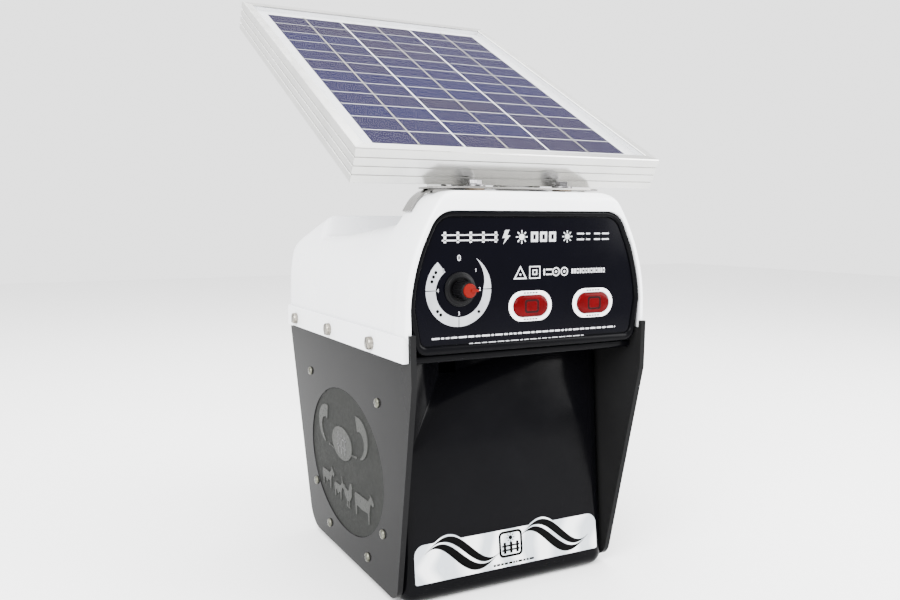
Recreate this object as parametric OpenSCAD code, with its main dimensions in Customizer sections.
/* [Base housing] */
// Half width of the base at the floor
base_half_w = 99; // [90:0.5:104]
// Outward lean of the side walls, degrees
side_lean = 1.45; // [1.4:0.01:1.5]
// Height of the base rim
rim_z = 214; // [212:0.5:215]
// Front wall at floor level, before rounding
front_y = -107; // [-110:0.5:-104]
// How far the front wall leans back per unit height
front_lean = 0.108; // [0.09:0.002:0.12]
// Rear wall at floor level, before rounding
rear_y = 107; // [102:0.5:108]
// How far the rear wall leans out per unit height
rear_lean = 0.235; // [0.22:0.005:0.24]
// Wall thickness of the base
base_wall = 3; // [2.5:0.1:3.5]

/* [Side plates] */
// Thickness of a side plate
plate_t = 4.6; // [4:0.1:4.8]
// Half length of the oval medallion
medallion_a = 89; // [80:1:90]
// Half height of the oval medallion
medallion_b = 64.5; // [58:0.5:66]
// Depth of the medallion recess
medallion_depth = 0.9; // [0.5:0.1:1.2]

/* [Lid] */
// Half width of the hood above the skirt
lid_half_w = 111.5; // [111.4:0.1:112.5]
// Highest point of the hood
lid_top = 331.5; // [331:0.5:332]
// Front face of the hood
lid_front_y = -137; // [-137.2:0.1:-136.5]
// Rear face of the hood
lid_rear_y = 161.5; // [161:0.5:163]
// Radius of the hood's side arc
side_r = 160; // [155:1:165]
// Radius of the hood's shoulder arc
shoulder_r = 26; // [25:0.5:28]
// Wall thickness of the hood
lid_wall = 3; // [2.6:0.1:3.2]
// Underside of the skirt
skirt_z = 203; // [202.5:0.5:204]
// Height of the skirt band
skirt_h = 19; // [18:0.5:20]

/* [Control panel] */
// Knob axis, across
knob_x = -64.3; // [-66:0.1:-62]
// Knob axis, height
knob_z = 256; // [254:0.5:258]
// Diameter of the control knob
knob_d = 15; // [13:0.5:17]
// Fence pilot light, across
fence_pilot_x = -1.2; // [-3:0.1:1]
// Charge pilot light, across
charge_pilot_x = 59.3; // [57:0.1:60]
// Height of the pilot lights
pilot_z = 240.6; // [239:0.1:242]

/* [Solar panel] */
// Width of the panel frame
panel_w = 282; // [276:1:286]
// Length of the panel frame along its slope
panel_l = 360; // [350:1:364]
// Depth of the panel frame
panel_t = 28; // [26:0.5:28.5]
// Slope of the panel at rest, degrees
panel_tilt = 28.5; // [27:0.5:30]
// Lower front edge of the panel frame, front to back
panel_y = -104; // [-105:0.5:-103]
// Lower front edge of the panel frame, height
panel_z = 335.5; // [335.4:0.1:337]

/* [Hidden] */

fit_gap = 0.05;
part_gap = 0.3;
hull_fn = 32;
round_fn = 64;
arc_steps = 8;

// A corner of an outline, rounded by an arc: previous, current and next point, and radius.
function unit(v) = v / norm(v);
function bearing(v) = atan2(v[1], v[0]);
function arc_corner(p, c, n, r) =
    let (u = unit(p - c), w = unit(n - c), half = acos(u * w) / 2)
    let (centre = c + unit(u + w) * (r / sin(half)), reach = r / tan(half))
    let (a0 = bearing(c + u * reach - centre), a1 = bearing(c + w * reach - centre))
    let (turn = ((a1 - a0 + 540) % 360) - 180)
    [for (i = [0:arc_steps]) centre + r * [cos(a0 + turn * i / arc_steps),
                                           sin(a0 + turn * i / arc_steps)]];
function xy(p) = [p[0], p[1]];
// Outline from corners given as [across, up, corner radius].
function rounded(pts) =
    let (m = len(pts))
    [for (i = [0:m - 1]) each
        pts[i][2] <= 0 ? [xy(pts[i])]
        : arc_corner(xy(pts[(i + m - 1) % m]), xy(pts[i]), xy(pts[(i + 1) % m]), pts[i][2])];

// Extrude an outline drawn in (Y, Z) from x0 to x1.
module across_x(pts, x0, x1) {
    translate([x0, 0, 0])
        rotate([90, 0, 90])
            linear_extrude(x1 - x0)
                polygon(pts);
}

// Extrude an outline drawn in (X, Z) from y0 to y1.
module along_y(pts, y0, y1) {
    translate([0, y1, 0])
        rotate([90, 0, 0])
            linear_extrude(y1 - y0)
                polygon(pts);
}

// Box from its lowest to its highest corner.
module span(low, high) {
    translate(low)
        cube(high - low);
}

// Cylinder along X, from x0 to x1, centred on (y, z).
module rod_x(r, x0, x1, y, z) {
    translate([x0, y, z])
        rotate([0, 90, 0])
            cylinder(r = r, h = x1 - x0, $fn = round_fn);
}

// Cylinder along Y, from y0 to y1, centred on (x, z).
module rod_y(r, y0, y1, x, z) {
    translate([x, y1, z])
        rotate([90, 0, 0])
            cylinder(r = r, h = y1 - y0, $fn = round_fn);
}

// Cylinder along Z, from z0 to z1, centred on (x, y).
module rod_z(r, z0, z1, x, y) {
    translate([x, y, z0])
        cylinder(r = r, h = z1 - z0, $fn = round_fn);
}

// The child and its mirror image in the middle plane.
module both_sides() {
    children();
    mirror([1, 0, 0]) children();
}

// ---------- base housing ----------
function half_w(z) = base_half_w + z * tan(side_lean);
function wall_front(z) = front_y + front_lean * z;
function wall_rear(z) = rear_y + rear_lean * z;
front_corner_r = 14;
rear_corner_r = 17;
edge_r = 12;
edge_steps = 4;
shelf_z = 200;
shelf_t = 6;
shelf_front_y = -128;
shelf_half_w = 102.6;

// Corner post's foot, with its lower edge rounded by e.
module rounded_foot(r, e) {
    rotate_extrude($fn = hull_fn)
        polygon(concat([[0, 0]],
            [for (i = [0:edge_steps]) let (a = 90 * i / edge_steps)
                [r - e + e * sin(a), e - e * cos(a)]],
            [[0, e]]));
}

// Tapered body with rounded upright corners and a rounded bottom edge.
module tapered_body(inset, floor_z, top_z, e) {
    hull()
        for (side = [-1, 1], rear = [0, 1]) {
            r = rear ? rear_corner_r : front_corner_r;
            low_y = rear ? wall_rear(floor_z + e) - r : wall_front(floor_z + e) + r;
            top_y = rear ? wall_rear(top_z) - r : wall_front(top_z) + r;
            translate([side * (half_w(floor_z + e) - r), low_y, floor_z])
                rounded_foot(r - inset, e);
            translate([side * (half_w(top_z) - r), top_y, top_z - 1])
                cylinder(r = r - inset, h = 1, $fn = hull_fn);
        }
}

// Places of the side plate's screws, as (Y, Z).
plate_screws = [[94, 162], [-74, 162], [88, 54], [-77.5, 54], [53, 22], [-42, 22]];
// Places of the lid's side screws, as (Y, Z).
lid_screw_z = 211;
lid_screw_ys = [-75, 24, 121];
screw_r = 2;
boss_r = 5;
boss_l = 8.2;
outlet_low = [-59, 184];
outlet_high = [-43, 195.5];
clamp_post_x = 86;
clamp_post_y = -38;
clamp_post_r = 6;
clamp_z = 176;

// Put the child on a side plate's inner face, with local +X outward.
module on_plate() {
    translate([base_half_w + fit_gap, 0, 0])
        rotate([0, side_lean, 0])
            children();
}

module base_housing() {
    color([0.05, 0.05, 0.055])
    difference() {
        union() {
            difference() {
                tapered_body(0, 0, rim_z, edge_r);
                tapered_body(base_wall, base_wall, rim_z + 1, edge_r - base_wall);
            }
            difference() {
                span([-shelf_half_w, shelf_front_y, shelf_z],
                     [shelf_half_w, wall_front(shelf_z) + 12, shelf_z + shelf_t]);
                span([-90, shelf_front_y + 6, shelf_z + 3], [90, -92, shelf_z + shelf_t + 1]);
                tapered_body(base_wall - 0.7, base_wall, rim_z + 1, edge_r - base_wall);
            }
            both_sides() {
                on_plate()
                    for (p = plate_screws)
                        rod_x(boss_r, -boss_l, -1, p[0], p[1]);
                for (y = lid_screw_ys)
                    rod_x(boss_r - 1.5, 95, half_w(lid_screw_z) - 1, y, lid_screw_z - 1);
                translate([clamp_post_x, clamp_post_y, base_wall - 0.5])
                    rotate(197)
                        cylinder(r = clamp_post_r, h = clamp_z - base_wall + 0.5, $fn = round_fn);
            }
        }
        both_sides() {
            on_plate()
                for (p = plate_screws)
                    rod_x(screw_r + fit_gap, -boss_l + 2, 1, p[0], p[1]);
            for (y = lid_screw_ys)
                rod_x(screw_r + fit_gap, 96, half_w(rim_z) + 2, y, lid_screw_z);
            rod_z(screw_r + fit_gap, clamp_z - 16, clamp_z + 1, clamp_post_x, clamp_post_y);
        }
        span([outlet_low[0], -95, outlet_low[1]], [outlet_high[0], -70, outlet_high[1]]);
    }
}

// ---------- side plates ----------
plate_low_z = 5.5;
plate_tab_z = 224;
plate_kink_z = 185;
plate_front_y = -141;
plate_top_z = 218;
skirt_notch_z = 201;

plate_outline = rounded([
    [plate_front_y, plate_tab_z, 0.8], [plate_front_y, plate_kink_z, 14],
    [-101.5, plate_low_z, 15], [106, plate_low_z, 25], [154.5, skirt_notch_z - 1, 0],
    [147, skirt_notch_z - 1, 0], [147, plate_top_z, 0],
    [lid_front_y - part_gap, plate_top_z, 0], [lid_front_y - part_gap, plate_tab_z, 0.8]]);

medallion_y = 7;
medallion_z = 94;
medallion_outline = [for (a = [0:5:355]) [medallion_y + medallion_a * cos(a),
                                          medallion_z + medallion_b * sin(a)]];

module side_plate() {
    color([0.36, 0.37, 0.38])
    on_plate()
        difference() {
            across_x(plate_outline, 0, plate_t);
            across_x(medallion_outline, plate_t - medallion_depth, plate_t + 1);
            for (p = plate_screws)
                rod_x(screw_r + 0.3, -1, plate_t + 1, p[0], p[1]);
            for (y = lid_screw_ys)
                rod_x(screw_r + 0.8, -1, plate_t + 1, y, lid_screw_z);
        }
}

module side_plate_right() {
    side_plate();
}

module side_plate_left() {
    mirror([1, 0, 0]) side_plate();
}

// Domed head with a cross recess and a plain shank; the head's seat is at x = 0.
module pan_head_screw(head_r, head_h, shank_l) {
    difference() {
        union() {
            rotate([0, 90, 0])
                rotate_extrude($fn = round_fn)
                    polygon([[0, 0], [head_r, 0], [head_r, head_h * 0.35],
                             [head_r * 0.92, head_h * 0.62], [head_r * 0.75, head_h * 0.82],
                             [head_r * 0.5, head_h * 0.95], [0, head_h]]);
            rod_x(screw_r, -shank_l, 0.01, 0, 0);
        }
        span([head_h - 1.2, -0.5, -2], [head_h + 1, 0.5, 2]);
        span([head_h - 1.2, -2, -0.5], [head_h + 1, 2, 0.5]);
    }
}

module side_plate_screws() {
    color([0.72, 0.7, 0.66])
    both_sides()
        on_plate()
            for (p = plate_screws)
                translate([plate_t + 0.02, p[0], p[1]])
                    pan_head_screw(4, 2.3, plate_t + boss_l - 3);
}

// ---------- front label ----------
label_half_w = 89;
label_low = 16;
label_high = 49;
label_t = 0.5;

module front_label() {
    color([0.9, 0.91, 0.92])
    intersection() {
        translate([0, wall_front(0) - 0.03, 0])
            rotate([-atan(front_lean), 0, 0])
                along_y(rounded([[-label_half_w, label_low, 3], [label_half_w, label_low, 3],
                                 [label_half_w, label_high, 9], [-label_half_w, label_high, 9]]),
                        -label_t, 0);
        span([-95, -115, 0], [95, -90, 60]);
    }
}

// ---------- battery ----------
battery_w = 181;
battery_d = 77;
battery_h = 167;
battery_y = -24;
pad_t = 3;
pad_half_w = 85;
battery_z = base_wall + pad_t;
terminal_x = 72;

module battery_pad() {
    color([0.1, 0.1, 0.1])
    span([-pad_half_w, battery_y, base_wall],
         [pad_half_w, battery_y + battery_d, battery_z]);
}

module battery() {
    color([0.2, 0.21, 0.23])
    difference() {
        span([-battery_w / 2, battery_y, battery_z],
             [battery_w / 2, battery_y + battery_d, battery_z + battery_h]);
        for (side = [-1, 1])
            span([side * terminal_x - 11, battery_y + 3, battery_z + battery_h - 9],
                 [side * terminal_x + 11, battery_y + 25, battery_z + battery_h + 1]);
    }
}

terminal_y = battery_y + 14;
terminal_z = battery_z + battery_h - 9;

module battery_terminals() {
    color([0.7, 0.7, 0.68])
    for (side = [-1, 1]) {
        span([side * terminal_x - 6, terminal_y - 6, terminal_z],
             [side * terminal_x + 6, terminal_y + 6, terminal_z + 7]);
        rod_z(2.5, terminal_z + 6.9, terminal_z + 12, side * terminal_x, terminal_y);
    }
}

clamp_t = 3;
clamp_half_l = 92;

module battery_clamp() {
    color([0.75, 0.76, 0.77])
    difference() {
        union() {
            span([-clamp_half_l, clamp_post_y - 6, clamp_z],
                 [clamp_half_l, clamp_post_y + 6, clamp_z + clamp_t]);
            span([-45, clamp_post_y + 5, clamp_z], [45, battery_y + 30, clamp_z + clamp_t]);
            span([-45, battery_y + 20, battery_z + battery_h + 0.1],
                 [45, battery_y + 30, clamp_z + 0.5]);
        }
        both_sides()
            rod_z(screw_r + 0.3, clamp_z - 1, clamp_z + 5, clamp_post_x, clamp_post_y);
    }
}

// Socket head cap screw standing on a seat at (x, y, z), with its shank downward.
module cap_screw_z(x, y, z, head_r, head_h, r, shank_l) {
    difference() {
        union() {
            rod_z(head_r, z, z + head_h, x, y);
            rod_z(r, z - shank_l, z + 0.01, x, y);
        }
        translate([x, y, z + head_h - 1.6])
            cylinder(r = head_r * 0.5, h = 2, $fn = 6);
    }
}

// Round lead through a list of points, with a ball at each bend.
module lead(pts, r) {
    for (i = [0:len(pts) - 2]) {
        d = pts[i + 1] - pts[i];
        translate(pts[i])
            rotate([0, acos(d[2] / norm(d)), bearing([d[0], d[1]])])
                cylinder(r = r, h = norm(d), $fn = 32);
        if (i > 0)
            translate(pts[i])
                sphere(r = r + 0.7, $fn = 32);
    }
}

lead_r = 1.6;
lead_top_z = 215;

module battery_lead(side, tray_x) {
    lead([[side * terminal_x, terminal_y, terminal_z + 12.5],
          [side * terminal_x, terminal_y, terminal_z + 22],
          [side * terminal_x, terminal_y + 20, terminal_z + 30],
          [tray_x, 72, 205], [tray_x, 72, lead_top_z]], lead_r);
}

module battery_lead_red() {
    color([0.7, 0.06, 0.05])
    battery_lead(1, 40);
}

module battery_lead_black() {
    color([0.05, 0.05, 0.05])
    battery_lead(-1, -40);
}

// ---------- gasket and electronics tray ----------
gasket_t = 2;
tray_t = 3;
tray_z = rim_z + gasket_t + 0.1;
tray_top = tray_z + tray_t;
tray_front_y = -82;
tray_rear_y = 152;
tray_half_w = 101;

module rim_ring(low_inset, high_inset, z0, z1) {
    difference() {
        span([-tray_half_w - low_inset, tray_front_y - low_inset, z0],
             [tray_half_w + low_inset, tray_rear_y + low_inset, z1]);
        span([-tray_half_w + high_inset, tray_front_y + high_inset, z0 - 1],
             [tray_half_w - high_inset, tray_rear_y - high_inset, z1 + 1]);
    }
}

module rim_gasket() {
    color([0.08, 0.08, 0.08])
    rim_ring(2.5, 1.5, rim_z, rim_z + gasket_t);
}

tray_posts = [[-92, -70], [92, -70], [-92, 138], [92, 138]];

module electronics_tray() {
    color([0.13, 0.14, 0.15])
    difference() {
        union() {
            span([-tray_half_w, tray_front_y, tray_z], [tray_half_w, tray_rear_y, tray_top]);
            for (p = tray_posts)
                rod_z(4.5, tray_z - 8, tray_z + 0.01, p[0], p[1]);
        }
        for (p = tray_posts)
            rod_z(screw_r + fit_gap, tray_z - 7, tray_top + 1, p[0], p[1]);
        for (x = [-40, 40])
            rod_z(lead_r + 0.4, tray_z - 1, tray_top + 1, x, 72);
    }
}

module inner_screws() {
    color([0.72, 0.7, 0.66]) {
        for (p = tray_posts)
            cap_screw_z(p[0], p[1], tray_top + 0.02, 3.5, 2.6, screw_r, 9);
        both_sides()
            cap_screw_z(clamp_post_x, clamp_post_y, clamp_z + clamp_t + 0.02, 3.5, 2.6,
                        screw_r, 9);
    }
}

core_x = -48;
core_y = 72;
core_w = 66;
core_d = 34;
core_h = 56;
limb_w = 11;

module transformer_core() {
    color([0.35, 0.35, 0.37])
    difference() {
        translate([core_x - core_w / 2, core_y - core_d / 2, tray_top + 0.1])
            cube([core_w, core_d, core_h]);
        for (side = [-1, 1])
            translate([core_x + side * (core_w / 4 - limb_w / 4 + 1.4) - 11,
                       core_y - core_d / 2 - 1, tray_top + limb_w])
                cube([22, core_d + 2, core_h - 2 * limb_w]);
        for (side = [-1, 1])
            rod_y(2.2, core_y - core_d, core_y + core_d, core_x + side * (core_w / 2 - 4),
                  tray_top + 5);
    }
}

module transformer_coil() {
    color([0.62, 0.3, 0.12])
    difference() {
        span([core_x - 24, core_y - core_d / 2 - 9, tray_top + limb_w + 1],
             [core_x + 24, core_y + core_d / 2 + 9, tray_top + core_h - limb_w - 1]);
        span([core_x - 8, core_y - core_d / 2 - 0.3, tray_top],
             [core_x + 8, core_y + core_d / 2 + 0.3, tray_top + core_h]);
    }
}

capacitor_r = 17;
capacitor_x = 20;

module storage_capacitor() {
    color([0.12, 0.2, 0.42])
    rod_z(capacitor_r, tray_top + 0.1, tray_top + 55, capacitor_x, 62);
}

module smoothing_capacitors() {
    color([0.1, 0.1, 0.12])
    for (i = [0:2])
        rod_z(6, tray_top + 0.1, tray_top + 26, 56 + 16 * i, 40);
}

module regulator_heatsink() {
    color([0.6, 0.61, 0.63])
    difference() {
        span([50, 84, tray_top + 0.1], [86, 106, tray_top + 30]);
        for (i = [0:4])
            span([53 + 6.6 * i, 83, tray_top + 5], [56.6 + 6.6 * i, 101, tray_top + 31]);
    }
}

// ---------- lid ----------
arc_z = 232;
side_cx = lid_half_w - side_r;
shoulder_cz = lid_top - shoulder_r;
join_a = asin((shoulder_cz - arc_z) / (side_r - shoulder_r));
shoulder_cx = side_cx + (side_r - shoulder_r) * cos(join_a);
side_steps = 8;
shoulder_steps = 8;

// Right half of the hood's front outline, drawn in by "inset": side arc, then shoulder arc.
function hood_half(inset) = concat(
    [for (i = [0:side_steps]) let (a = join_a * i / side_steps)
        [side_cx + (side_r - inset) * cos(a), arc_z + (side_r - inset) * sin(a)]],
    [for (i = [1:shoulder_steps]) let (a = join_a + (90 - join_a) * i / shoulder_steps)
        [shoulder_cx + (shoulder_r - inset) * cos(a),
         shoulder_cz + (shoulder_r - inset) * sin(a)]]);
function flipped(pts) = [for (i = [len(pts) - 1:-1:0]) [-pts[i][0], pts[i][1]]];
function hood_front(inset, low_z) = concat(
    [[lid_half_w - inset, low_z]], hood_half(inset), flipped(hood_half(inset)),
    [[-lid_half_w + inset, low_z]]);

hood_back_y = -81;
crest_y = 86;
crest_z = 314;
floor_front_z = 305.5;
floor_z = 293;

// Side outline of the hood: high front block, hand valley, crest and sloping back.
function hood_side(inset, low_z) = rounded([
    [lid_front_y + inset, low_z, 0],
    [lid_front_y + inset, lid_top - inset, 9 - inset],
    [hood_back_y - inset, lid_top - inset, 9 - inset],
    [hood_back_y - inset, floor_front_z - inset, 8 + inset],
    [20, 295 - inset, 60],
    [77 + inset, floor_z - inset, 6],
    [crest_y + inset, crest_z - inset, 5],
    [lid_rear_y - inset, 284 - inset, 24],
    [lid_rear_y - inset, low_z, 0]]);

// Plan outline of the lid: square front corners and rounded rear corners.
function lid_plan(half, front, rear, r) = rounded([
    [-half, front, 0], [half, front, 0], [half, rear, r], [-half, rear, r]]);

module plan_block(half, front, rear, r, z0, z1) {
    translate([0, 0, z0])
        linear_extrude(z1 - z0)
            polygon(lid_plan(half, front, rear, r));
}

rear_r = 14;

module hood_solid(inset, low_z) {
    intersection() {
        along_y(hood_front(inset, low_z), -160, 180);
        across_x(hood_side(inset, low_z), -130, 130);
        plan_block(lid_half_w - inset, -150, lid_rear_y - inset, rear_r - inset, 190, 340);
    }
}

skirt_out = 1.5;
skirt_inner = 109.7;
fascia_inset = 4.5;
fascia_top = 315;
fascia_low = 207.3;
fascia_half_low = 101.5;
rim_depth = 9;

// Half width of the control panel at height z, following the hood's arcs.
function fascia_half(z, inset) = let (r = side_r - fascia_inset - inset)
    side_cx + sqrt(r * r - (z - arc_z) * (z - arc_z));
fascia_levels = [243, 252, 261, 270, 279, 288];

// Outline of the control panel, drawn in by "inset".
function fascia_right(inset) = concat(
    [[fascia_half_low - inset, fascia_low + inset, 10 - inset]],
    [for (z = fascia_levels) [fascia_half(z, inset), z, 0]],
    [[84 - inset * 0.6, fascia_top - inset, 20 - inset]]);
function fascia_outline(inset) = let (right = fascia_right(inset), m = len(right))
    rounded(concat(right, [for (i = [m - 1:-1:0]) [-right[i][0], right[i][1], right[i][2]]]));

bolt_x = 41;
bolt_y = -114;
terminal_z_rear = 242;
fence_x = 42;
earth_x = -42;
gland_x = 0;
gland_z = 262;
fascia_screw_x = 50;
fascia_screw_z = 319;

module lid_hood() {
    color([0.93, 0.94, 0.95])
    difference() {
        union() {
            hood_solid(0, skirt_z + 2);
            plan_block(lid_half_w + skirt_out, lid_front_y, lid_rear_y + skirt_out,
                       rear_r + skirt_out, skirt_z, skirt_z + skirt_h);
        }
        intersection() {
            hood_solid(lid_wall, skirt_z - 5);
            span([-120, lid_front_y + rim_depth, 190], [120, 170, 340]);
        }
        plan_block(skirt_inner, lid_front_y - 1, lid_rear_y - 2, rear_r - 3, skirt_z - 1,
                   plate_top_z + part_gap);
        along_y(fascia_outline(-part_gap), lid_front_y - 2, lid_front_y + rim_depth + 1);
        span([-skirt_inner, lid_front_y - 1, skirt_z - 1],
             [skirt_inner, lid_front_y + rim_depth + 1, plate_top_z + part_gap]);
        both_sides() {
            for (y = lid_screw_ys)
                rod_x(screw_r + 0.3, 100, 120, y, lid_screw_z);
            rod_z(3.3, 320, 340, bolt_x, bolt_y);
            rod_y(screw_r - 0.5 + fit_gap, -133, -120, fascia_screw_x, fascia_screw_z);
        }
        for (x = [earth_x, fence_x])
            rod_y(4.2, 150, 170, x, terminal_z_rear);
        rod_y(6.2, 150, 170, gland_x, gland_z);
    }
}

// Cheese head with a straight slot; the head's seat is at x = 0.
module slotted_screw(head_r, head_h, shank_l) {
    difference() {
        union() {
            rod_x(head_r, 0, head_h, 0, 0);
            rod_x(screw_r, -shank_l, 0.01, 0, 0);
        }
        span([head_h - 1.2, -0.6, -head_r - 1], [head_h + 1, 0.6, head_r + 1]);
    }
}

module lid_screws() {
    color([0.68, 0.64, 0.58])
    both_sides()
        for (y = lid_screw_ys)
            translate([lid_half_w + skirt_out + 0.02, y, lid_screw_z])
                slotted_screw(5.4, 4.4, 12);
}

// ---------- control panel ----------
fascia_face_y = -135.5;
overlay_y = -133.3;
overlay_t = 0.4;
fascia_back_y = -130;
bezel_w = 4;
pilot_half_w = 20;
pilot_half_h = 12;
lens_half_w = 15.8;
lens_half_h = 8.3;
collar_r = 13.2;
bush_r = 3.5;
board_y = -112;
board_t = 1.6;
board_posts = [[-84, 222], [84, 222], [-72, 300], [72, 300]];

// Outline with round ends, half width a and half height b, centred on (x, z).
function stadium(x, z, a, b) = rounded([[x - a, z - b, b - 0.01], [x + a, z - b, b - 0.01],
                                        [x + a, z + b, b - 0.01], [x - a, z + b, b - 0.01]]);

module control_fascia() {
    color([0.04, 0.04, 0.05])
    difference() {
        union() {
            along_y(fascia_outline(0), fascia_face_y, fascia_back_y);
            for (side = [-1, 1])
                span([side * fascia_screw_x - 8, lid_front_y + rim_depth + 0.1, 306],
                     [side * fascia_screw_x + 8, lid_front_y + rim_depth + 2.6, 323]);
            for (side = [-1, 1])
                span([side * fascia_screw_x - 8, fascia_back_y - 0.5, 306],
                     [side * fascia_screw_x + 8, lid_front_y + rim_depth + 2.6, 313]);
            for (p = board_posts)
                rod_y(3.5, fascia_back_y - 0.5, board_y - 0.02, p[0], p[1]);
        }
        along_y(fascia_outline(bezel_w), fascia_face_y - 1, overlay_y + overlay_t);
        for (x = [fence_pilot_x, charge_pilot_x])
            along_y(stadium(x, pilot_z, lens_half_w + 0.1, lens_half_h + 0.1), -140, -120);
        rod_y(bush_r + 0.1, -140, -120, knob_x, knob_z);
        for (side = [-1, 1])
            rod_y(screw_r - 0.2, -140 + 8, -120, side * fascia_screw_x, fascia_screw_z);
        for (p = board_posts)
            rod_y(screw_r - 0.5 + fit_gap, board_y - 12, board_y + 1, p[0], p[1]);
    }
}

// Small screw along Y with its head toward the rear; the head's seat is at y = 0.
module small_screw_y(x, y, z, shank_l) {
    rod_y(2.8, y, y + 2, x, z);
    rod_y(screw_r - 0.5, y - shank_l, y + 0.01, x, z);
}

module fascia_screws() {
    color([0.72, 0.7, 0.66])
    for (side = [-1, 1])
        small_screw_y(side * fascia_screw_x, lid_front_y + rim_depth + 2.7, fascia_screw_z, 6);
}

module fascia_overlay() {
    color([0.03, 0.03, 0.04])
    difference() {
        along_y(fascia_outline(bezel_w + 0.2), overlay_y, overlay_y + overlay_t - 0.02);
        for (x = [fence_pilot_x, charge_pilot_x])
            along_y(stadium(x, pilot_z, lens_half_w + 0.1, lens_half_h + 0.1), -140, -120);
        rod_y(bush_r + 0.1, -140, -120, knob_x, knob_z);
    }
}

bezel_t = 0.8;

module pilot_bezel(x) {
    color([0.92, 0.92, 0.92])
    difference() {
        along_y(stadium(x, pilot_z, pilot_half_w, pilot_half_h), overlay_y - bezel_t,
                overlay_y - 0.02);
        along_y(stadium(x, pilot_z, lens_half_w + 0.1, lens_half_h + 0.1), -140, -120);
    }
}

module fence_pilot_bezel() {
    pilot_bezel(fence_pilot_x);
}

module charge_pilot_bezel() {
    pilot_bezel(charge_pilot_x);
}

lens_out = 2.6;

module pilot_lens(x) {
    color([0.85, 0.03, 0.08])
    difference() {
        union() {
            along_y(stadium(x, pilot_z, lens_half_w, lens_half_h), overlay_y - lens_out,
                    fascia_back_y + 0.5);
            along_y(stadium(x, pilot_z, lens_half_w + 2, lens_half_h + 2),
                    fascia_back_y + 0.1, fascia_back_y + 2);
        }
        along_y(stadium(x, pilot_z, lens_half_w - 2, lens_half_h - 2),
                overlay_y - lens_out + 2, fascia_back_y + 3);
    }
}

module fence_pilot_lens() {
    pilot_lens(fence_pilot_x);
}

module charge_pilot_lens() {
    pilot_lens(charge_pilot_x);
}

module pilot_leds() {
    color([0.95, 0.3, 0.2])
    for (x = [fence_pilot_x, charge_pilot_x]) {
        rod_y(2.5, -128, board_y - 0.1, x, pilot_z);
        translate([x, -128, pilot_z])
            sphere(r = 2.5, $fn = round_fn);
    }
}

pot_back_y = -119;

module control_board() {
    color([0.05, 0.32, 0.16])
    difference() {
        span([-92, board_y, 214 + 6], [92, board_y + board_t, 304]);
        for (p = board_posts)
            rod_y(screw_r - 0.5 + 0.2, board_y - 1, board_y + 3, p[0], p[1]);
    }
}

module board_screws() {
    color([0.72, 0.7, 0.66])
    for (p = board_posts)
        small_screw_y(p[0], board_y + board_t + 0.02, p[1], 11);
}

module potentiometer_body() {
    color([0.55, 0.56, 0.57])
    difference() {
        union() {
            rod_y(8, fascia_back_y + 0.1, pot_back_y, knob_x, knob_z);
            rod_y(bush_r, overlay_y - 4.5, fascia_back_y + 0.2, knob_x, knob_z);
            for (i = [-1, 0, 1])
                span([knob_x + 5 * i - 0.5, pot_back_y - 3, knob_z - 12],
                     [knob_x + 5 * i + 0.5, pot_back_y - 2, knob_z - 6]);
        }
        rod_y(3.05, -150, pot_back_y - 1, knob_x, knob_z);
    }
}

module potentiometer_nut() {
    color([0.06, 0.06, 0.06])
    difference() {
        union() {
            rod_y(collar_r, overlay_y - 1.4, overlay_y - 0.02, knob_x, knob_z);
            rod_y(collar_r - 2.5, overlay_y - 2.6, overlay_y - 1, knob_x, knob_z);
        }
        rod_y(bush_r + fit_gap, -150, -120, knob_x, knob_z);
        rod_y(8.6, -150, overlay_y - 1.2, knob_x, knob_z);
    }
}

knob_back_y = overlay_y - 1.8;
knob_front_y = knob_back_y - 14;

module potentiometer_shaft() {
    color([0.75, 0.75, 0.73])
    rod_y(3, knob_front_y + 4.1, pot_back_y - 1.1, knob_x, knob_z);
}

knob_ribs = 18;

module control_knob() {
    color([0.09, 0.09, 0.1])
    difference() {
        union() {
            rod_y(knob_d / 2 - 0.4, knob_front_y, knob_back_y, knob_x, knob_z);
            for (i = [0:knob_ribs - 1])
                translate([knob_x, 0, knob_z])
                    rotate([0, 360 * i / knob_ribs, 0])
                        span([knob_d / 2 - 1, knob_front_y + 1, -0.45],
                             [knob_d / 2, knob_back_y, 0.45]);
        }
        rod_y(3.02, knob_front_y + 4, 0, knob_x, knob_z);
        rod_y(bush_r + 0.4, overlay_y - 4.8, 0, knob_x, knob_z);
    }
}

module knob_pointer_cap() {
    color([0.9, 0.22, 0.12])
    union() {
        rod_y(knob_d / 2 - 1.4, knob_front_y - 1.2, knob_front_y - 0.02, knob_x, knob_z);
        span([knob_x + 1, knob_front_y - 2.2, knob_z - 1.1],
             [knob_x + knob_d / 2 - 1, knob_front_y - 0.8, knob_z + 1.1]);
    }
}

// ---------- output terminals ----------
stud_r = 3;
wall_out_y = lid_rear_y;
collar_l = 6;
washer_t = 1.6;

module terminal_base(x) {
    difference() {
        union() {
            rod_y(9, wall_out_y + 0.05, wall_out_y + collar_l, x, terminal_z_rear);
            rod_y(4.1, wall_out_y - lid_wall, wall_out_y + 0.1, x, terminal_z_rear);
        }
        rod_y(stud_r + fit_gap, 100, 220, x, terminal_z_rear);
    }
}

module fence_terminal_base() {
    color([0.7, 0.06, 0.05])
    terminal_base(fence_x);
}

module earth_terminal_base() {
    color([0.05, 0.32, 0.12])
    terminal_base(earth_x);
}

// Stud along Y with its inside nut and washer.
module terminal_stud(x) {
    rod_y(stud_r, wall_out_y - 14, wall_out_y + 24, x, terminal_z_rear);
    translate([x, wall_out_y - lid_wall - 0.2, terminal_z_rear])
        rotate([90, 0, 0])
            cylinder(r = 5.8, h = 5, $fn = 6);
}

module fence_stud() {
    color([0.78, 0.77, 0.74])
    terminal_stud(fence_x);
}

module earth_stud() {
    color([0.78, 0.77, 0.74])
    terminal_stud(earth_x);
}

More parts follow.
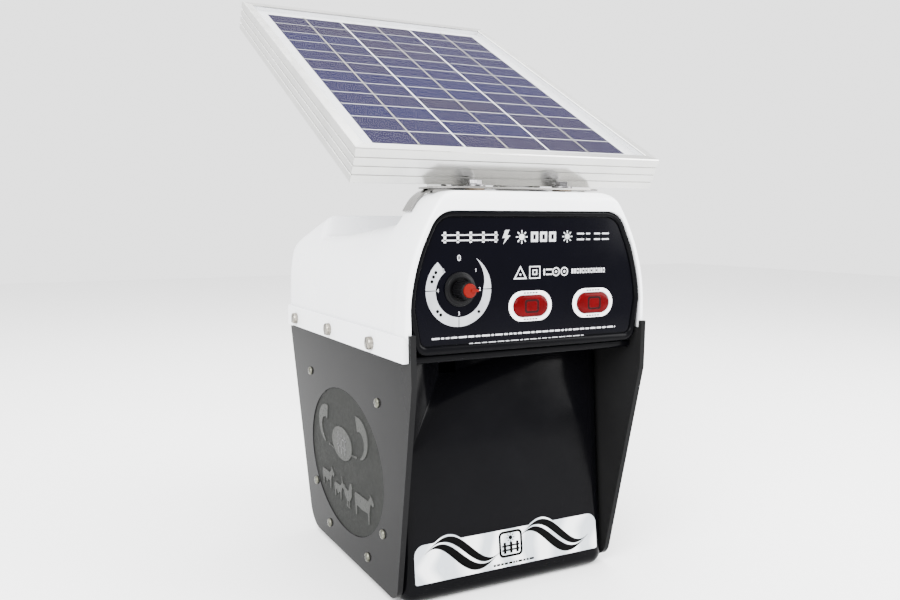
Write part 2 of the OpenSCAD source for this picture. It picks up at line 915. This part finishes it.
module clamp_washer(x) {
    difference() {
        rod_y(7, wall_out_y + collar_l + 0.05, wall_out_y + collar_l + washer_t, x,
              terminal_z_rear);
        rod_y(stud_r + 0.08, 100, 220, x, terminal_z_rear);
    }
}

module fence_clamp_washer() {
    color([0.78, 0.77, 0.74])
    clamp_washer(fence_x);
}

module earth_clamp_washer() {
    color([0.78, 0.77, 0.74])
    clamp_washer(earth_x);
}

grip_r = 8;
grip_lobes = 10;

module terminal_knob(x) {
    knob_y = wall_out_y + collar_l + washer_t + 0.05;
    difference() {
        union() {
            rod_y(grip_r, knob_y + 2, knob_y + 13, x, terminal_z_rear);
            rod_y(grip_r - 2.5, knob_y, knob_y + 2.5, x, terminal_z_rear);
            for (i = [0:grip_lobes - 1])
                rod_y(1.4, knob_y + 2.6, knob_y + 12.4,
                      x + grip_r * cos(360 * i / grip_lobes),
                      terminal_z_rear + grip_r * sin(360 * i / grip_lobes));
        }
        rod_y(stud_r + 0.08, 100, 220, x, terminal_z_rear);
    }
}

module fence_terminal_knob() {
    color([0.7, 0.06, 0.05])
    terminal_knob(fence_x);
}

module earth_terminal_knob() {
    color([0.05, 0.32, 0.12])
    terminal_knob(earth_x);
}

module panel_lead_gland() {
    color([0.1, 0.1, 0.11])
    difference() {
        union() {
            translate([gland_x, wall_out_y + 5, gland_z])
                rotate([90, 0, 0])
                    cylinder(r = 9.5, h = 4.9, $fn = 6);
            rod_y(7.5, wall_out_y + 4.9, wall_out_y + 14, gland_x, gland_z);
            rod_y(6, wall_out_y - 9, wall_out_y + 0.2, gland_x, gland_z);
        }
        rod_y(2.6, 100, 220, gland_x, gland_z);
    }
}

// ---------- hood bracket ----------
sheet_t = 1.5;
spacer_t = 0.9;
strip_z = lid_top + spacer_t;
strip_half_w = 78;
leg_half_w = 46;
wing_low_z = 312;
hinge_y = -78;
hinge_z = 337.5;
ear_x = 34;
ear_t = 2.5;
knuckle_r = 4.5;
pin_r = 2;
clamp_r = 50;
clamp_drop = 22;
clamp_rest = panel_tilt - clamp_drop;
tilt_min = -28.5;
tilt_max = 1;
slot_half = 2.4;
clamp_screw_r = 2;

// Outline of the folded leg: off the strip, down to a foot on the valley floor.
leg_outline = [
    [-90, strip_z], [-90, strip_z + sheet_t], [-86, strip_z + sheet_t],
    [-32, 302.8], [-14, 300.6], [-14, 299], [-32.6, 301.1], [-86.6, strip_z]];

function polar(r, a) = [hinge_y + r * cos(a), hinge_z + r * sin(a)];

ear_outline = rounded([
    [hinge_y - 6.5, strip_z - 0.5, 0], [hinge_y - 4, hinge_z + 2, 0], [-46, hinge_z + 6, 3],
    [-40, 352, 4], [-20, 352, 4], [-18, 300.5, 0], [-33, 302.5, 0]]);

// Slot on an arc about the hinge, from angle a0 to a1.
module arc_slot(x0, x1, a0, a1) {
    translate([x0, hinge_y, hinge_z])
        rotate([90, 0, 90])
            rotate([0, 0, a0])
                rotate_extrude(angle = a1 - a0, $fn = 128)
                    translate([clamp_r - slot_half, 0])
                        square([2 * slot_half, x1 - x0]);
    for (a = [a0, a1])
        rod_x(slot_half, x0, x1, polar(clamp_r, a)[0], polar(clamp_r, a)[1]);
}

// Band of sheet that follows the hood's shoulders down to the wing tips.
module shoulder_band() {
    intersection() {
        difference() {
            along_y(hood_front(-spacer_t - sheet_t, 200), -101, -87);
            along_y(hood_front(-spacer_t, 190), -110, -80);
        }
        span([-130, -101, wing_low_z], [130, -87, 340]);
    }
}

module hood_bracket() {
    color([0.72, 0.72, 0.7])
    difference() {
        union() {
            span([-strip_half_w, -125, strip_z], [strip_half_w, -90, strip_z + sheet_t]);
            shoulder_band();
            across_x(leg_outline, -leg_half_w, leg_half_w);
            both_sides() {
                across_x(ear_outline, ear_x, ear_x + ear_t);
                rod_x(knuckle_r, ear_x, ear_x + ear_t, hinge_y, hinge_z);
            }
        }
        both_sides() {
            rod_z(3.3, 320, 345, bolt_x, bolt_y);
            rod_x(pin_r + fit_gap, ear_x - 1, ear_x + 5, hinge_y, hinge_z);
            arc_slot(ear_x - 1, ear_x + ear_t + 1, clamp_rest + tilt_min,
                     clamp_rest + tilt_max);
            translate([strip_half_w - 16, -125, strip_z - 1])
                rotate([0, 0, -35])
                    translate([0, -40, 0])
                        cube([60, 40, 4]);
        }
        span([-26, -76, 290], [26, -42, 332]);
    }
}

module bracket_spacers() {
    color([0.35, 0.25, 0.16])
    for (x = [-bolt_x, bolt_x])
        difference() {
            rod_z(8, lid_top + 0.02, strip_z - 0.02, x, bolt_y);
            rod_z(3.1, lid_top - 1, strip_z + 1, x, bolt_y);
        }
}

module bracket_bolts() {
    color([0.76, 0.75, 0.72])
    for (x = [-bolt_x, bolt_x]) {
        translate([x, bolt_y, strip_z + sheet_t + 1.62])
            rotate([0, 0, 30])
                cylinder(r = 5.77, h = 4, $fn = 6);
        rod_z(8.5, strip_z + sheet_t + 0.02, strip_z + sheet_t + 1.64, x, bolt_y);
        rod_z(3, lid_top - 14, strip_z + sheet_t + 1.7, x, bolt_y);
    }
}

module bracket_nuts() {
    color([0.76, 0.75, 0.72])
    for (x = [-bolt_x, bolt_x])
        difference() {
            union() {
                rod_z(8.5, lid_top - lid_wall - 1.7, lid_top - lid_wall - 0.1, x, bolt_y);
                translate([x, bolt_y, lid_top - lid_wall - 6.7])
                    cylinder(r = 5.77, h = 5.1, $fn = 6);
            }
            rod_z(3.05, 300, 335, x, bolt_y);
        }
}

module hinge_pins() {
    color([0.78, 0.77, 0.74])
    both_sides() {
        rod_x(pin_r, ear_x - 3, ear_x + ear_t + 6, hinge_y, hinge_z);
        rod_x(3.6, ear_x - 4.4, ear_x - 0.4, hinge_y, hinge_z);
    }
}

// ---------- tilting panel, drawn flat and then tilted ----------
// The panel's own frame: origin at the lower front edge, Y up the slope, Z out of the face.
module on_panel() {
    translate([0, panel_y, panel_z])
        rotate([panel_tilt, 0, 0])
            children();
}

hinge_s = (hinge_y - panel_y) * cos(panel_tilt) + (hinge_z - panel_z) * sin(panel_tilt);
hinge_n = (hinge_z - panel_z) * cos(panel_tilt) - (hinge_y - panel_y) * sin(panel_tilt);
clamp_s = hinge_s + clamp_r * cos(clamp_drop);
clamp_n = hinge_n - clamp_r * sin(clamp_drop);
rail_x = ear_x + ear_t + 0.4;
rail_t = 2.5;
rail_flange = 16;

module tilt_rail() {
    color([0.74, 0.75, 0.76])
    on_panel()
        difference() {
            union() {
                span([rail_x, 3, frame_wall + 0.05],
                     [rail_x + rail_flange, panel_l - 3, frame_wall + 0.05 + rail_t]);
                across_x(rounded([[hinge_s - 4.4, hinge_n, 0], [hinge_s, hinge_n - 4.6, 3],
                                  [clamp_s, clamp_n - 7, 5], [clamp_s + 8, clamp_n, 5],
                                  [clamp_s + 16, frame_wall + 1, 0],
                                  [base_flange_w + 0.9, frame_wall + 1, 0]]),
                         rail_x, rail_x + rail_t);
            }
            rod_x(pin_r + fit_gap, rail_x - 1, rail_x + 5, hinge_s, hinge_n);
            rod_x(clamp_screw_r + fit_gap, rail_x - 1, rail_x + 5, clamp_s, clamp_n);
        }
}

module tilt_rail_right() {
    tilt_rail();
}

module tilt_rail_left() {
    mirror([1, 0, 0]) tilt_rail();
}

// Clamp screw through each rail and slot, with a wing nut inside the ear.
module tilt_clamp_screws() {
    color([0.76, 0.75, 0.72])
    both_sides()
        on_panel() {
            rod_x(clamp_screw_r, ear_x - 9, rail_x + rail_t + 0.1, clamp_s, clamp_n);
            rod_x(4, rail_x + rail_t + 0.05, rail_x + rail_t + 3, clamp_s, clamp_n);
            rod_x(4.5, ear_x - 5.5, ear_x - 0.35, clamp_s, clamp_n);
            span([ear_x - 9.5, clamp_s - 1, clamp_n - 8.5],
                 [ear_x - 3, clamp_s + 1, clamp_n + 8.5]);
        }
}

frame_wall = 1.6;
lip_w = 9;
base_flange_w = 20;
glass_t = 3.2;
cell_t = 0.6;
groove_r = 0.7;

// Cross section of a frame bar, from its outer face inward: (in, up).
bar_outline = [
    [0, 0], [base_flange_w, 0], [base_flange_w, frame_wall], [frame_wall, frame_wall],
    [frame_wall, panel_t - 7.5], [lip_w - 1, panel_t - 7.5], [lip_w - 1, panel_t - 6],
    [frame_wall, panel_t - 6], [frame_wall, panel_t - 1.2], [lip_w, panel_t - 1.2],
    [lip_w, panel_t], [0, panel_t]];

// Three shallow grooves along the outer face of a bar.
groove_levels = [7, 14, 21];

// One mitred bar of length l along Y, with its outer face at x = 0.
module frame_bar(l) {
    intersection() {
        difference() {
            translate([0, l, 0])
                rotate([90, 0, 0])
                    linear_extrude(l)
                        polygon(bar_outline);
            for (z = groove_levels)
                span([-1, -1, z - groove_r / 2], [0.5, l + 1, z + groove_r / 2]);
        }
        translate([0, 0, -1])
            linear_extrude(panel_t + 2)
                polygon([[-0.1, 0.05], [base_flange_w + 1, base_flange_w + 1.15],
                         [base_flange_w + 1, l - base_flange_w - 1.15], [-0.1, l - 0.05]]);
    }
}

module panel_frame_left() {
    color([0.78, 0.79, 0.8])
    on_panel()
        translate([-panel_w / 2, 0, 0])
            frame_bar(panel_l);
}

module panel_frame_right() {
    mirror([1, 0, 0]) panel_frame_left();
}

module panel_frame_front() {
    color([0.78, 0.79, 0.8])
    on_panel()
        translate([panel_w / 2, 0, 0])
            rotate([0, 0, 90])
                frame_bar(panel_w);
}

module panel_frame_rear() {
    color([0.78, 0.79, 0.8])
    on_panel()
        translate([-panel_w / 2, panel_l, 0])
            rotate([0, 0, -90])
                frame_bar(panel_w);
}

laminate_in = frame_wall + 0.2;
glass_z = panel_t - 1.3 - glass_t;

module panel_glass() {
    color([0.75, 0.8, 0.9, 0.4])
    on_panel()
        span([-panel_w / 2 + laminate_in, laminate_in, glass_z],
             [panel_w / 2 - laminate_in, panel_l - laminate_in, glass_z + glass_t]);
}

module solar_cells() {
    color([0.16, 0.17, 0.4])
    on_panel()
        span([-panel_w / 2 + laminate_in, laminate_in, glass_z - cell_t - 0.05],
             [panel_w / 2 - laminate_in, panel_l - laminate_in, glass_z - 0.05]);
}

module panel_junction_box() {
    color([0.08, 0.08, 0.09])
    on_panel()
        difference() {
            span([-45, panel_l - 95, glass_z - cell_t - 18], [45, panel_l - 30, glass_z - cell_t - 0.1]);
            span([-42.5, panel_l - 92.5, glass_z - cell_t - 15.5],
                 [42.5, panel_l - 32.5, glass_z]);
            for (side = [-1, 1])
                rod_x(3, side * 41 - 6, side * 41 + 6, panel_l - 80, glass_z - cell_t - 9);
        }
}

base_housing();
side_plate_left();
side_plate_right();
side_plate_screws();
front_label();
battery_pad();
battery();
battery_terminals();
battery_clamp();
inner_screws();
battery_lead_red();
battery_lead_black();
rim_gasket();
electronics_tray();
transformer_core();
transformer_coil();
storage_capacitor();
smoothing_capacitors();
regulator_heatsink();
lid_hood();
lid_screws();
control_fascia();
fascia_screws();
fascia_overlay();
fence_pilot_bezel();
charge_pilot_bezel();
fence_pilot_lens();
charge_pilot_lens();
pilot_leds();
control_board();
board_screws();
potentiometer_body();
potentiometer_nut();
potentiometer_shaft();
control_knob();
knob_pointer_cap();
fence_terminal_base();
fence_stud();
fence_clamp_washer();
fence_terminal_knob();
earth_terminal_base();
earth_stud();
earth_clamp_washer();
earth_terminal_knob();
panel_lead_gland();
hood_bracket();
bracket_spacers();
bracket_bolts();
bracket_nuts();
hinge_pins();
tilt_rail_left();
tilt_rail_right();
tilt_clamp_screws();
panel_frame_front();
panel_frame_rear();
panel_frame_left();
panel_frame_right();
panel_glass();
solar_cells();
panel_junction_box();
